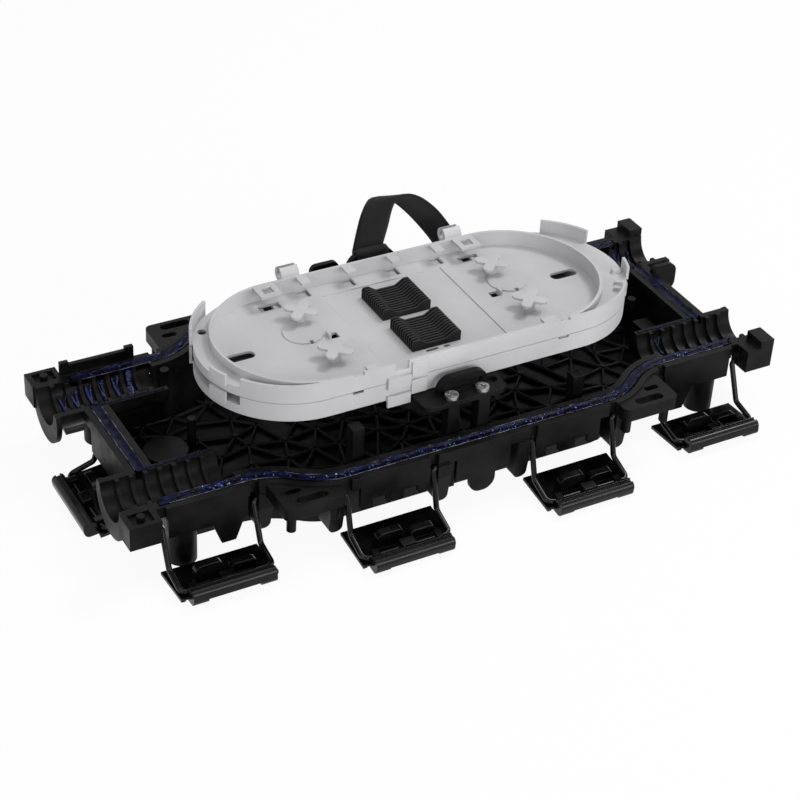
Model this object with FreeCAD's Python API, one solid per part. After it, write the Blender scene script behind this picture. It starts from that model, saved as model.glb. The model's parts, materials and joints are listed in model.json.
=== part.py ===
import FreeCAD, Part
import math
import os

Vec = FreeCAD.Vector

# Sealing line: the middle of the mastic groove, the same in all four quarters
end_half_length = 176.5
mid_half_width = 80.0
port_half_width = 61.0
waist_inset = 44.5
waist_length = 52.0

# Rim, groove and walls of the base shell
parting_height = 42.5
rim_half_width = 7.0
rim_thickness = 7.0
groove_half_width = 3.4
groove_depth = 4.5
wall_thickness = 3.0
wall_lean = 6.0
hull_bottom = 5.0
floor_thickness = 3.0
foot_radius = 8.2
foot_end_inset = 11.0
foot_side_inset = 2.7

# Sealing bead in the groove
bead_clearance = 0.25
bead_rise = 0.8

# Cable ports
port_side_inset = 14.3
port_radius = 16.9
port_wall = 3.4
port_depth = 42.5
port_reach = 23.5
port_lip_length = 3.0
port_lip_radius = 18.5
port_lip_drop = 6.0
port_rib_count = 7
port_rib_pitch = 8.0
port_rib_thickness = 2.4
port_rib_height = 2.4
port_rib_root = 0.4
port_web_thickness = 3.0

# Skirt under the rim
skirt_thickness = 2.5
mid_skirt_depth = 14.5
port_skirt_depth = 12.5
end_skirt_depth = 14.5
panel_shift = 3.0
latch_panel_half = 21.0
panel_notch_width = 8.5
panel_notch_height = 5.5
panel_notch_spacing = 19.0
middle_panel_half = 17.0
lobe_radius = 8.0
lobe_drop = 11.0
lobe_corner = 7.2
port_panel_half = 22.5
tooth_inset = 34.0
tooth_top_half = 9.0
tooth_bottom_half = 4.0
tooth_drop = 13.5

# Mounting flanges outside the S-curves
flange_gap = 6.5
flange_length = 35.5
flange_reach = 14.5
flange_drop = 1.0
flange_thickness = 8.0
flange_corner = 4.0
mount_slot_shift = 0.75
mount_slot_inset = 5.5
mount_slot_length = 18.0
mount_slot_width = 5.5
tie_slot_end_inset = 10.0
tie_slot_side_gap = 0.5
tie_slot_length = 9.0
tie_slot_width = 4.0
peg_radius = 2.6
peg_length = 10.0

# Corner ears, end lug and alignment rail
ear_gap = 6.5
ear_length = 18.0
ear_side_gap = 1.0
ear_width = 14.0
ear_depth = 14.0
ear_step = 4.5
ear_pocket_length = 12.0
ear_pocket_width = 9.0
ear_pocket_depth = 2.0
dowel_radius = 2.2
dowel_height = 1.4
lug_gap = 0.5
lug_y = 20.5
lug_thickness = 3.0
lug_length = 21.5
lug_depth = 14.5
lug_rise = 4.5
lug_corner = 6.0
rail_length = 43.5
rail_thickness = 2.6
rail_rise = 6.5
rail_tab_length = 5.0
rail_tab_rise = 2.0

# Latches: a wire bail hung in fins of the shell, and a lever on the bail
wire_radius = 1.6
wire_bend_radius = 3.5
pin_bend_radius = 2.0
pin_clearance = 0.05
pivot_offset = 5.5
mid_pivot_drop = 2.0
port_pivot_drop = 4.5
end_pivot_inset = 2.3
bail_half_width = 26.0
bail_upper_leg = 24.0
bail_lower_leg = 16.0
bail_bend = 55.0
mid_latch_inset = 23.0
port_latch_inset = 22.5
mid_hang = 74.0
port_hang = 67.0
mid_lever_tilt = -7.0
port_lever_tilt = 4.0
fin_gap = 2.0
fin_thickness = 8.0
fin_bottom = 10.0
fin_corner = 3.5
pin_depth = 4.0
fin_reach = 2.8
rim_notch_width = 5.0
rim_notch_depth = 2.4
lever_half_width = 27.5
lever_plate_back = 24.0
lever_plate_front = 3.0
lever_plate_thickness = 1.2
lever_plate_drop = 0.2
lever_edge_width = 2.4
lever_edge_depth = 0.7
bar_half_width = 23.6
bar_back = 2.6
bar_front = 10.4
bar_rise = 5.6
bar_corner = 3.4
bar_groove_width = 2.4
bar_groove_depth = 1.2
bar_notch_half = 15.0
bar_notch_height = 3.0
block_half_width = 4.2
clip_inner = 17.0
clip_outer = 21.0
saddle_back = 2.8
block_rise = 4.2
clip_rise = 2.8
tab_width = 16.0
tab_front = 5.5
tab_thickness = 4.5
tab_corner = 4.0
tabs = ((-7.5, 8.5), (12.0, 4.0))

# Splice trays: a cup with full walls, and a low shelf outside each round end
tray_side_gap = 29.3
tray_end_gap = 46.5
tray_y = -5.3
tray_wall = 1.6
tray_floor = 1.6
tray_height = 10.9
tray_pitch = 11.2
tray_rise = 20.8
left_shelf_width = 9.3
right_shelf_width = 16.8
shelf_top = 5.4
shelf_thickness = 1.4
high_walls = ((-1, 215, 270), (1, -90, -38))
edge_fin_gap = 0.4
edge_fins = ((-1, 125, 158, 3.6), (-1, 193, 206, 0.3), (1, -24, -12, 1.5), (1, 25, 57, 2.4))
recess_depth = 0.6
recess_left = -39.3
recess_right = 37.0
recess_back_gap = 11.0
recess_front_gap = 4.0
shelf_hole_y = 27.5
shelf_hole_radius = 2.6
shelf_clip_length = 5.0
shelf_clip_width = 3.0
shelf_clip_rise = 2.2
shelf_clip_angles = (-17, -33, -41)
hinge_inset = 26.8
hinge_reach = 4.8
hinge_pin_radius = 2.0
hinge_clearance = 0.08
hook_outer_radius = 4.4
hook_width = 11.0
hook_mouth = 80.0
hook_mouth_half = 1.4
arm_gap = 0.6
arm_thickness = 2.9
arm_radius = 3.0
finger_pitch = 28.5
finger_middle = -4.5
finger_count = 4
finger_width = 6.0
finger_length = 8.0
finger_thickness = 1.5
finger_hole = 7.0
wide_fingers = (-70.5, 57.0)
wide_finger_width = 13.0
wide_finger_length = 12.0
wide_finger_slot = 6.0
front_fingers = ((-53.0, 6.0, 4.0), (58.0, 9.0, 5.0))
star_x = 61.0
star_y = 21.0
star_length = 20.0
star_arm_width = 6.0
star_thickness = 1.5
star_top = 9.0
star_post_radius = 3.4
disc_x = 65.0
disc_y = 9.3
disc_radius = 11.5
disc_height = 0.7
disc_hole_radius = 1.3
disc_hole_drop = 10.5
floor_slot_gap = 4.5
floor_slot_y = 2.3
floor_slot_length = 17.0
floor_slot_width = 7.0
square_hole_x = 51.0
square_hole = 5.2
square_hole_stop = 1.2
small_slots = ((-8.0, 7.5), (1.2, 3.5))
small_slot_y = -33.6
small_slot_width = 1.8
front_notches = ((-36.0, 8.0, 4.5), (-62.0, 6.5, 1.5), (66.0, 6.5, 1.5))
snap_x = -38.0
snap_width = 14.0
snap_thickness = 1.5
snap_drop = 4.0
snap_root = 3.0
snap_clearance = 0.3
catch_side_gap = 0.6
catch_width = 9.4
catch_thickness = 1.2
catch_foot = 0.6
catch_gap = 1.3

# Splice holders, two combs in each tray
comb_x = -4.2
comb_y = -1.7
comb_spacing = 34.0
comb_length = 30.0
comb_width = 26.0
comb_base = 1.2
comb_ridges = 12
comb_ridge_thickness = 1.1
comb_end_height = 6.8
comb_saddle_height = 3.4
comb_lobe = 4.0
comb_slope = 5.0
comb_corner = 1.4
comb_bend = 2.4

# Tray brackets and their screws
bracket_left = -30.0
bracket_right = 22.0
bracket_front_depth = 9.0
bracket_rear_depth = 19.0
bracket_reach = 10.5
bracket_thickness = 3.0
bracket_corner = 5.0
eye_radius = 3.2
eye_inset = 5.0
loop_gap = 11.3
loop_thickness = 3.6
loop_width = 31.0
front_loop_height = 13.0
rear_loop_height = 18.2
loop_corner = 8.0
loop_bar = 4.5
loop_slot_width = 24.0
front_slot_height = 4.8
rear_slot_height = 7.0
loop_slot_corner = 1.5
front_loop_x = -2.2
rear_loop_x = 7.5
ear_plate_length = 18.0
ear_plate_thickness = 3.0
ear_plate_gap = 4.0
ear_plate_height = 11.7
ear_plate_corner = 4.0
screw_spread = 19.0
screw_gap = 6.2
screw_radius = 1.9
screw_clearance = 0.2
screw_head_radius = 3.8
screw_head_height = 2.2
screw_length = 14.0
screw_recess_length = 4.4
screw_recess_width = 1.0
screw_recess_depth = 1.0
bracket_post = 7.0

# Strap on the rear bracket's loop, its edges measured from the middle of the loop's top
strap_width = 20.0
strap_thickness = 1.4
strap_gap = 0.25
strap_edges = (((-8, 3, 15.5), (12, 3, 12)), ((-4, 5.5, 24), (14.5, 3.5, 22)),
               ((2.5, 10.5, 27.5), (18, 4.2, 27.5)), ((12, 14.5, 25), (22.5, 4.6, 29)),
               ((22, 16.5, 19), (28, 4.8, 28.3)), ((32, 17.5, 9), (36.5, 5, 23)),
               ((41.5, 18.5, -2.5), (47, 6, 12.5)), ((50.5, 20, -14.5), (56.5, 7, -0.5)))

# Posts that stand on the floor of the shell
left_tall_post_inset = 12.5
right_tall_post_inset = 9.0
tall_post_gap = 2.5
tall_post_size = 7.0
left_tall_post_rise = 16.5
right_tall_post_rise = 10.5
thin_post_radius = 2.6
thin_posts = ((-128.6, 49.0, 42.0), (-127.0, 15.5, 30.0), (160.0, 10.0, 36.0))
pad_x = -147.0
pad_y = 5.0
pad_radius = 12.5
pad_top = 22.0
pad_stem_radius = 5.0
pad_thickness = 3.0
step_block = (152.0, 162.0, -16.0, -4.0, 30.0)

# Places along X that follow from the sizes above
waist_end = end_half_length - waist_inset
waist_start = waist_end - waist_length
foot_x = end_half_length - foot_end_inset
port_inner_end = end_half_length - port_depth
port_outer_end = end_half_length + port_reach
tooth_x = end_half_length - tooth_inset
port_latch_x = end_half_length - port_latch_inset
mid_latch_x = waist_start - mid_latch_inset
mid_panel_x = mid_latch_x - panel_shift
end_pivot_x = end_half_length - end_pivot_inset
flange_start = waist_start + flange_gap
flange_end = flange_start + flange_length
mount_slot_x = (flange_start + flange_end) / 2 + mount_slot_shift
tie_slot_x = flange_end - tie_slot_end_inset
ear_start = end_half_length + ear_gap
ear_end = ear_start + ear_length
lug_reach = end_half_length + lug_length
rail_start = -end_half_length - rim_half_width
rail_end = rail_start + rail_length
left_tall_post_x = left_tall_post_inset - waist_start
right_tall_post_x = waist_start - right_tall_post_inset

# Places across the shell
foot_y = port_half_width - foot_side_inset
port_y = port_half_width - port_side_inset
flange_half_width = mid_half_width + flange_reach
mount_slot_y = flange_half_width - mount_slot_inset
tie_slot_y = mid_half_width + tie_slot_side_gap
ear_inner = port_half_width + ear_side_gap
ear_outer = ear_inner + ear_width
tray_radius = mid_half_width - tray_side_gap
tray_half_straight = end_half_length - tray_end_gap - tray_radius
left_guide_x = left_shelf_width - tray_half_straight
right_guide_x = tray_half_straight - right_shelf_width
hinge_x = tray_half_straight - hinge_inset
loop_y = tray_radius + loop_gap
bracket_front_inner = loop_y - bracket_front_depth
bracket_rear_inner = loop_y - bracket_rear_depth
bracket_outer = loop_y + bracket_reach
ear_plate_y = loop_y + ear_plate_gap
screw_y = loop_y + screw_gap
tall_post_y = loop_y + tall_post_gap

# Heights
rim_bottom = parting_height - rim_thickness
floor_top = hull_bottom + floor_thickness
mid_skirt_bottom = rim_bottom - mid_skirt_depth
port_skirt_bottom = rim_bottom - port_skirt_depth
end_skirt_bottom = rim_bottom - end_skirt_depth
lobe_bottom = mid_skirt_bottom - lobe_drop
tooth_bottom = port_skirt_bottom - tooth_drop
flange_top = parting_height - flange_drop
ear_bottom = parting_height - ear_depth
lug_bottom = parting_height - lug_depth
lug_top = parting_height + lug_rise
rail_top = parting_height + rail_rise
mid_pivot_height = rim_bottom - mid_pivot_drop
port_pivot_height = rim_bottom - port_pivot_drop
lower_tray_z = parting_height + tray_rise
upper_tray_z = lower_tray_z + tray_pitch
bracket_z = lower_tray_z - bracket_thickness
left_tall_post_top = parting_height + left_tall_post_rise
right_tall_post_top = parting_height + right_tall_post_rise

# Bores and pins
port_bore = port_radius - port_wall
pin_end = bail_half_width + fin_gap + pin_depth
fin_inner = bail_half_width + fin_gap
wire_bore = wire_radius + pin_clearance


def box(x0, x1, y0, y1, z0, z1):
    return Part.makeBox(x1 - x0, y1 - y0, z1 - z0, Vec(x0, y0, z0))


def upright(radius, x, y, z0, z1):
    return Part.makeCylinder(radius, z1 - z0, Vec(x, y, z0))


def rod(radius, x0, x1, y, z):
    return Part.makeCylinder(radius, x1 - x0, Vec(x0, y, z), Vec(1, 0, 0))


def fused(shapes):
    return shapes[0].multiFuse(shapes[1:]).removeSplitter()


# Edges of a line through the points, each corner rounded by its own radius
def rounded_edges(points, radii, closed):
    count = len(points)
    corners = []
    for index, point in enumerate(points):
        radius = radii[index]
        if radius == 0:
            corners.append((point, None, point))
            continue
        before = (points[index - 1] - point).normalize()
        after = (points[(index + 1) % count] - point).normalize()
        half_angle = before.getAngle(after) / 2
        reach = radius / math.tan(half_angle)
        bisector = (before + after).normalize()
        middle = point + bisector * (radius / math.sin(half_angle) - radius)
        corners.append((point + before * reach, middle, point + after * reach))
    edges = []
    for index, (first, middle, last) in enumerate(corners):
        if index > 0 or closed:
            start = corners[index - 1][2]
            if start.distanceToPoint(first) > 1e-6:
                edges.append(Part.makeLine(start, first))
        if middle is not None:
            edges.append(Part.Arc(first, middle, last).toShape())
    return edges


# A round wire bent along lines and arcs that follow each other
def round_wire(edges, radius):
    runs = []
    for edge in edges:
        start = edge.valueAt(edge.FirstParameter)
        heading = edge.tangentAt(edge.FirstParameter)
        if isinstance(edge.Curve, Part.Line):
            runs.append(Part.makeCylinder(radius, edge.Length, start, heading))
        else:
            section = Part.Face(Part.Wire(Part.makeCircle(radius, start, heading)))
            turn = math.degrees(edge.Length / edge.Curve.Radius)
            runs.append(section.revolve(edge.Curve.Center, edge.Curve.Axis, turn))
    return fused(runs)


# A plate cut to a rounded polygon and given its thickness along a vector
def plate(points, radii, thickness):
    edges = rounded_edges(points, radii, True)
    return Part.Face(Part.Wire(edges)).extrude(thickness)


def flat_plate(plan, radius, z0, z1):
    points = [Vec(x, y, z0) for x, y in plan]
    return plate(points, [radius] * len(points), Vec(0, 0, z1 - z0))


# A round-ended slot or bar along X
def long_hole(x, y, length, width, z0, z1):
    half = (length - width) / 2
    bar = box(x - half, x + half, y - width / 2, y + width / 2, z0, z1)
    ends = [upright(width / 2, x + side * half, y, z0, z1) for side in (-1, 1)]
    return fused([bar] + ends)


# Part of a ring about an upright axis, between two angles in degrees
def ring_sector(x, y, inner, outer, start, end, z0, z1):
    place = Vec(x, y, z0)
    axis = Vec(0, 0, 1)
    sector = Part.makeCylinder(outer, z1 - z0, place, axis, end - start)
    core = Part.makeCylinder(inner, z1 - z0, place, axis)
    sector = sector.cut(core)
    sector.rotate(place, axis, start)
    return sector


# One quarter of a line at a set distance outside the sealing line
def outline_quarter(offset, z, side_x, side_y):
    run = waist_end - waist_start
    step = mid_half_width - port_half_width
    turn = 2 * math.atan2(step, run)
    bend = run / 2 / math.sin(turn)

    def point(x, y):
        return Vec(side_x * x, side_y * y, z)

    def outer_arc(angle):
        reach = bend + offset
        return point(waist_start + reach * math.sin(angle),
                     mid_half_width - bend + reach * math.cos(angle))

    def inner_arc(angle):
        reach = bend - offset
        return point(waist_end - reach * math.sin(angle),
                     port_half_width + bend - reach * math.cos(angle))

    corner = point(end_half_length + offset, port_half_width + offset)
    return [
        Part.Arc(outer_arc(0), outer_arc(turn / 2), outer_arc(turn)).toShape(),
        Part.Arc(inner_arc(turn), inner_arc(turn / 2), inner_arc(0)).toShape(),
        Part.makeLine(inner_arc(0), corner),
    ]


# The closed line at a set distance outside the sealing line
def outline(offset, z):
    mid = mid_half_width + offset
    port = port_half_width + offset
    end = end_half_length + offset
    edges = outline_quarter(offset, z, 1, 1)
    edges.append(Part.makeLine(Vec(end, port, z), Vec(end, -port, z)))
    edges += reversed(outline_quarter(offset, z, 1, -1))
    edges.append(Part.makeLine(Vec(waist_start, -mid, z), Vec(-waist_start, -mid, z)))
    edges += outline_quarter(offset, z, -1, -1)
    edges.append(Part.makeLine(Vec(-end, -port, z), Vec(-end, port, z)))
    edges += reversed(outline_quarter(offset, z, -1, 1))
    edges.append(Part.makeLine(Vec(-waist_start, mid, z), Vec(waist_start, mid, z)))
    return Part.Wire(edges)


def outline_solid(offset, z0, z1):
    return Part.Face(outline(offset, z0)).extrude(Vec(0, 0, z1 - z0))


# A band that follows the sealing line between two offsets
def outline_band(inner, outer, z0, z1):
    return outline_solid(outer, z0, z1).cut(outline_solid(inner, z0, z1))


# Where the leaning wall's inner face stands at a height
def wall_inner(z):
    return -rim_half_width - wall_lean * (parting_height - z) / (parting_height - hull_bottom)


def tapered_solid(added, z0, z1):
    lines = [outline(wall_inner(z) + added, z) for z in (z0, z1)]
    return Part.makeLoft(lines, True, True)


# The lower half of a rod along X, cut off at the parting plane
def half_rod(radius, x0, x1, y):
    return rod(radius, x0, x1, y, parting_height).common(
        box(x0, x1, y - radius, y + radius, parting_height - radius, parting_height))


def port_span(side_x, start, end):
    return min(side_x * start, side_x * end), max(side_x * start, side_x * end)


def port_body(side_x, side_y):
    x0, x1 = port_span(side_x, port_inner_end, port_outer_end)
    lip0, lip1 = port_span(side_x, port_outer_end - port_lip_length, port_outer_end)
    web0, web1 = port_span(side_x, port_inner_end, end_half_length - rim_half_width)
    y = side_y * port_y
    half_web = port_web_thickness / 2
    web = box(web0, web1, y - half_web, y + half_web, hull_bottom, parting_height - port_bore)
    lip_z = parting_height - port_lip_drop
    lip = rod(port_lip_radius, lip0, lip1, y, lip_z).common(
        box(lip0, lip1, y - port_lip_radius, y + port_lip_radius, lip_z - port_lip_radius, parting_height))
    return [half_rod(port_radius, x0, x1, y), lip, web]


def port_ribs(side_x, side_y):
    ribs = []
    middle = (port_inner_end + port_outer_end) / 2
    for index in range(port_rib_count):
        x = middle + (index - (port_rib_count - 1) / 2) * port_rib_pitch
        x0, x1 = port_span(side_x, x - port_rib_thickness / 2, x + port_rib_thickness / 2)
        y = side_y * port_y
        ring = half_rod(port_bore + port_rib_root, x0, x1, y)
        ribs.append(ring.cut(rod(port_bore - port_rib_height, x0, x1, y, parting_height)))
    return ribs


# Long skirt panel with two square notches in its lower edge
def latch_panel(x, outer):
    inner = outer - skirt_thickness
    panel = box(x - latch_panel_half, x + latch_panel_half, -outer, -inner, mid_skirt_bottom, rim_bottom)
    for side in (-1, 1):
        notch_x = x + side * panel_notch_spacing / 2
        panel = panel.cut(box(notch_x - panel_notch_width / 2, notch_x + panel_notch_width / 2,
                              -outer, -inner, mid_skirt_bottom, mid_skirt_bottom + panel_notch_height))
    return panel


# Skirt panels of one long side, drawn for the front
def side_skirt():
    mid_outer = mid_half_width + rim_half_width
    port_outer = port_half_width + rim_half_width
    through = Vec(0, skirt_thickness, 0)
    panels = [latch_panel(side * mid_panel_x, mid_outer) for side in (-1, 1)]
    panels.append(box(-middle_panel_half, middle_panel_half, -mid_outer,
                      skirt_thickness - mid_outer, mid_skirt_bottom, rim_bottom))
    lobe = [(-lobe_radius, mid_skirt_bottom), (-lobe_radius, lobe_bottom),
            (lobe_radius, lobe_bottom), (lobe_radius, mid_skirt_bottom)]
    points = [Vec(x, -mid_outer, z) for x, z in lobe]
    panels.append(plate(points, [0, lobe_corner, lobe_corner, 0], through))
    for side in (-1, 1):
        x = side * port_latch_x
        panels.append(box(x - port_panel_half, x + port_panel_half, -port_outer,
                          skirt_thickness - port_outer, port_skirt_bottom, rim_bottom))
        middle = side * tooth_x
        tooth = [(middle - tooth_top_half, port_skirt_bottom), (middle - tooth_bottom_half, tooth_bottom),
                 (middle + tooth_bottom_half, tooth_bottom), (middle + tooth_top_half, port_skirt_bottom)]
        points = [Vec(x, -port_outer, z) for x, z in tooth]
        panels.append(plate(points, [0] * len(points), through))
    return panels


def end_skirt(side):
    outer = end_half_length + rim_half_width
    x0, x1 = port_span(side, outer - skirt_thickness, outer)
    return box(x0, x1, -latch_panel_half, latch_panel_half, end_skirt_bottom, rim_bottom)


def flange(side_x, side_y):
    inner_start = mid_half_width
    inner_end = port_half_width + rim_half_width / 2
    plan = [(flange_start, inner_start), (flange_start, flange_half_width),
            (flange_end, flange_half_width), (flange_end, inner_end)]
    points = [Vec(side_x * x, side_y * y, flange_top - flange_thickness) for x, y in plan]
    body = plate(points, [0, flange_corner, flange_corner, 0], Vec(0, 0, flange_thickness))
    bottom = flange_top - flange_thickness
    pegs = [upright(peg_radius, side_x * x, side_y * mount_slot_y, bottom - peg_length, bottom)
            for x in (flange_start + 2 * peg_radius, flange_end - 2 * peg_radius)]
    return [body] + pegs


def flange_slots(side_x, side_y):
    z0 = flange_top - flange_thickness
    mount = long_hole(side_x * mount_slot_x, side_y * mount_slot_y, mount_slot_length,
                      mount_slot_width, z0, flange_top)
    tie = long_hole(side_x * tie_slot_x, side_y * tie_slot_y, tie_slot_length,
                    tie_slot_width, z0, flange_top)
    return [mount, tie]


# Ears at the corners: a pocket with a dowel on the left, a raised step on the right
def ear(side_x, side_y):
    x0, x1 = port_span(side_x, ear_start, ear_end)
    y0, y1 = port_span(side_y, ear_inner, ear_outer)
    body = box(x0, x1, y0, y1, ear_bottom, parting_height)
    x = (x0 + x1) / 2
    y = (y0 + y1) / 2
    if side_x < 0:
        floor = parting_height - ear_pocket_depth
        pocket = box(x - ear_pocket_length / 2, x + ear_pocket_length / 2,
                     y - ear_pocket_width / 2, y + ear_pocket_width / 2, floor, parting_height)
        dowel = upright(dowel_radius, x, y, floor, parting_height + dowel_height)
        return body.cut(pocket).fuse(dowel)
    step = box(x, x1, y0, y1, parting_height, parting_height + ear_step)
    return body.fuse(step)


def end_lug():
    inner = end_half_length + groove_half_width + lug_gap
    outline_points = [(inner, lug_bottom), (lug_reach, lug_bottom), (lug_reach, lug_top), (inner, lug_top)]
    points = [Vec(x, lug_y - lug_thickness / 2, z) for x, z in outline_points]
    return plate(points, [0, lug_corner, lug_corner, lug_corner / 2], Vec(0, lug_thickness, 0))


def rail():
    outer = port_half_width + rim_half_width
    inner = outer - rail_thickness
    bar = box(rail_start, rail_end, inner, outer, parting_height, rail_top)
    tabs = [box(x, x + rail_tab_length, inner, outer, rail_top, rail_top + rail_tab_rise)
            for x in (rail_start, rail_end - rail_tab_length)]
    return fused([bar] + tabs)


def screw_places():
    places = []
    for side_y, loop_x in ((-1, front_loop_x), (1, rear_loop_x)):
        for side in (-1, 1):
            places.append((loop_x + side * screw_spread / 2, side_y * screw_y))
    return places


def posts():
    half = bracket_post / 2
    shapes = [box(x - half, x + half, y - half, y + half, hull_bottom, bracket_z)
              for x, y in screw_places()]
    half = tall_post_size / 2
    for x, top in ((left_tall_post_x, left_tall_post_top), (right_tall_post_x, right_tall_post_top)):
        for side_y in (-1, 1):
            y = side_y * tall_post_y
            shapes.append(box(x - half, x + half, y - half, y + half, hull_bottom, top))
    shapes += [upright(thin_post_radius, x, y, hull_bottom, top) for x, y, top in thin_posts]
    shapes.append(upright(pad_stem_radius, pad_x, pad_y, hull_bottom, pad_top))
    shapes.append(upright(pad_radius, pad_x, pad_y, pad_top - pad_thickness, pad_top))
    x0, x1, y0, y1, top = step_block
    shapes.append(box(x0, x1, y0, y1, hull_bottom, top))
    return shapes


# Moves a piece drawn about the pivot of a front latch to its own side of the shell
def set_latch(shape, latch):
    moved = shape.copy()
    moved.translate(Vec(latch["along"], -latch["out"], latch["height"]))
    moved.rotate(Vec(0, 0, 0), Vec(0, 0, 1), latch["turn"])
    return moved


# Every latch: its name, side, place, hang and which fins carry it
def latches():
    rows = []
    for side, turn in (("front", 0), ("rear", 180)):
        for number, x in enumerate((-port_latch_x, -mid_latch_x, mid_latch_x, port_latch_x), 1):
            at_port = abs(x) == port_latch_x
            half_width = port_half_width if at_port else mid_half_width
            fins = (-math.copysign(1, x),) if at_port else (-1, 1)
            rows.append({"bail": f"{side}_latch_bail_{number}", "lever": f"{side}_latch_lever_{number}",
                         "turn": turn, "along": x, "out": half_width + pivot_offset, "line": half_width,
                         "height": port_pivot_height if at_port else mid_pivot_height,
                         "hang": port_hang if at_port else mid_hang,
                         "tilt": port_lever_tilt if at_port else mid_lever_tilt,
                         "fins": fins, "notched": True})
    for side, turn in (("left_end", -90), ("right_end", 90)):
        rows.append({"bail": f"{side}_latch_bail", "lever": f"{side}_latch_lever", "turn": turn,
                     "along": 0, "out": end_pivot_x, "line": end_half_length,
                     "height": mid_pivot_height, "hang": mid_hang, "tilt": mid_lever_tilt,
                     "fins": (-1, 1), "notched": False})
    return rows


# Fins that hold the bail's pins, from the leaning wall out past the pivot
def latch_fins(latch):
    shapes = []
    wall_middle = latch["out"] - latch["line"] - wall_thickness / 2
    top = rim_bottom - latch["height"]
    bottom = fin_bottom - latch["height"]
    back_top = wall_middle - wall_inner(rim_bottom)
    back_bottom = wall_middle - wall_inner(fin_bottom)
    profile = [(back_top, top), (-fin_reach, top), (-fin_reach, -2 * fin_reach), (0, bottom),
               (back_bottom, bottom)]
    for side in latch["fins"]:
        x0, x1 = port_span(side, fin_inner, fin_inner + fin_thickness)
        points = [Vec(x0, y, z) for y, z in profile]
        fin = plate(points, [0] * len(points), Vec(fin_thickness, 0, 0))
        front = [Vec(x, -fin_reach, z) for x, z in ((x0, bottom), (x1, bottom), (x1, top), (x0, top))]
        rounded = plate(front, [fin_corner, fin_corner, 0, 0], Vec(0, back_bottom + fin_reach, 0))
        shapes.append(set_latch(fin.common(rounded), latch))
    return shapes


# Bores for the pins, and slits in the rim that let the bail swing up
def latch_cuts(latch):
    cuts = []
    reach = pin_end + fin_gap / 4
    for side in (-1, 1):
        x0, x1 = port_span(side, bail_half_width, reach)
        cuts.append(rod(wire_bore, x0, x1, 0, 0))
        if latch["notched"]:
            leg = side * bail_half_width
            back = pivot_offset - rim_half_width + rim_notch_depth
            front = pivot_offset - 2 * rim_half_width
            cuts.append(box(leg - rim_notch_width / 2, leg + rim_notch_width / 2, front, back,
                            rim_bottom - latch["height"], parting_height - latch["height"]))
    return [set_latch(cut, latch) for cut in cuts]


def base_shell():
    hull = tapered_solid(wall_thickness, hull_bottom, parting_height)
    rim = outline_band(-rim_half_width, rim_half_width, rim_bottom, parting_height)
    body = hull.fuse(rim).cut(tapered_solid(0, floor_top, parting_height))
    added = []
    groove_floor = parting_height - groove_depth
    cuts = [outline_band(-groove_half_width, groove_half_width, groove_floor, parting_height)]
    ribs = []
    skirt = side_skirt()
    for panel in skirt:
        added.append(panel)
        back_panel = panel.copy()
        back_panel.rotate(Vec(0, 0, 0), Vec(0, 0, 1), 180)
        added.append(back_panel)
    for side_x in (-1, 1):
        added.append(end_skirt(side_x))
        for side_y in (-1, 1):
            added += port_body(side_x, side_y)
            added += flange(side_x, side_y)
            added.append(ear(side_x, side_y))
            added.append(upright(foot_radius, side_x * foot_x, side_y * foot_y, 0, rim_bottom))
            cuts += flange_slots(side_x, side_y)
            x0, x1 = port_span(side_x, port_inner_end, port_outer_end)
            cuts.append(rod(port_bore, x0, x1, side_y * port_y, parting_height))
            ribs += port_ribs(side_x, side_y)
    for latch in latches():
        added += latch_fins(latch)
        cuts += latch_cuts(latch)
    added.append(end_lug())
    added.append(rail())
    added += posts()
    bore_bottom = lower_tray_z - screw_length
    cuts += [upright(screw_radius, x, y, bore_bottom, bracket_z) for x, y in screw_places()]
    body = body.multiFuse(added)
    for cut in cuts:
        body = body.cut(cut)
    return fused([body] + ribs)


# The bead fills the groove and stands a little proud; the port troughs part it
def sealing_mastic():
    half = groove_half_width - bead_clearance
    bead = outline_band(-half, half, parting_height - groove_depth, parting_height + bead_rise)
    for side_x in (-1, 1):
        for side_y in (-1, 1):
            x0, x1 = port_span(side_x, port_inner_end, port_outer_end)
            bead = bead.cut(rod(port_bore + port_rib_root + bead_clearance, x0, x1,
                                side_y * port_y, parting_height))
    return bead


# A solid with round ends, centred at two places along X
def stadium(x0, x1, radius, z0, z1):
    middle = box(x0, x1, -radius, radius, z0, z1)
    ends = [upright(radius, x, 0, z0, z1) for x in (x0, x1)]
    return fused([middle] + ends)


# The walled cup of a tray with its end shelves, which are open below
def tray_cup():
    half = tray_half_straight
    inside = tray_radius - tray_wall
    base = stadium(-half, half, tray_radius, 0, shelf_top)
    base = base.cut(stadium(-half, half, inside, 0, shelf_top - shelf_thickness))
    cup = stadium(left_guide_x, right_guide_x, tray_radius, 0, tray_height)
    walls = []
    for side, start, end in high_walls:
        guide = left_guide_x if side < 0 else right_guide_x
        x0, x1 = sorted((guide, side * half))
        walls.append(box(x0, x1, -tray_radius, -inside, shelf_top, tray_height))
        walls.append(ring_sector(side * half, 0, inside, tray_radius, start, end, shelf_top, tray_height))
    body = fused([base, cup] + walls)
    return body.cut(stadium(left_guide_x, right_guide_x, inside, tray_floor, tray_height))


# Fins outside the wall that reach up beside the next tray, from their root on the shelf's edge
def tray_edge_fins():
    shapes = []
    face = tray_radius + edge_fin_gap
    for side, start, end, rise in edge_fins:
        x = side * tray_half_straight
        shapes.append(ring_sector(x, 0, tray_radius - tray_wall, face + tray_wall, start, end,
                                  shelf_top - shelf_thickness, shelf_top))
        shapes.append(ring_sector(x, 0, face, face + tray_wall, start, end, shelf_top, tray_height + rise))
    return shapes


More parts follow.
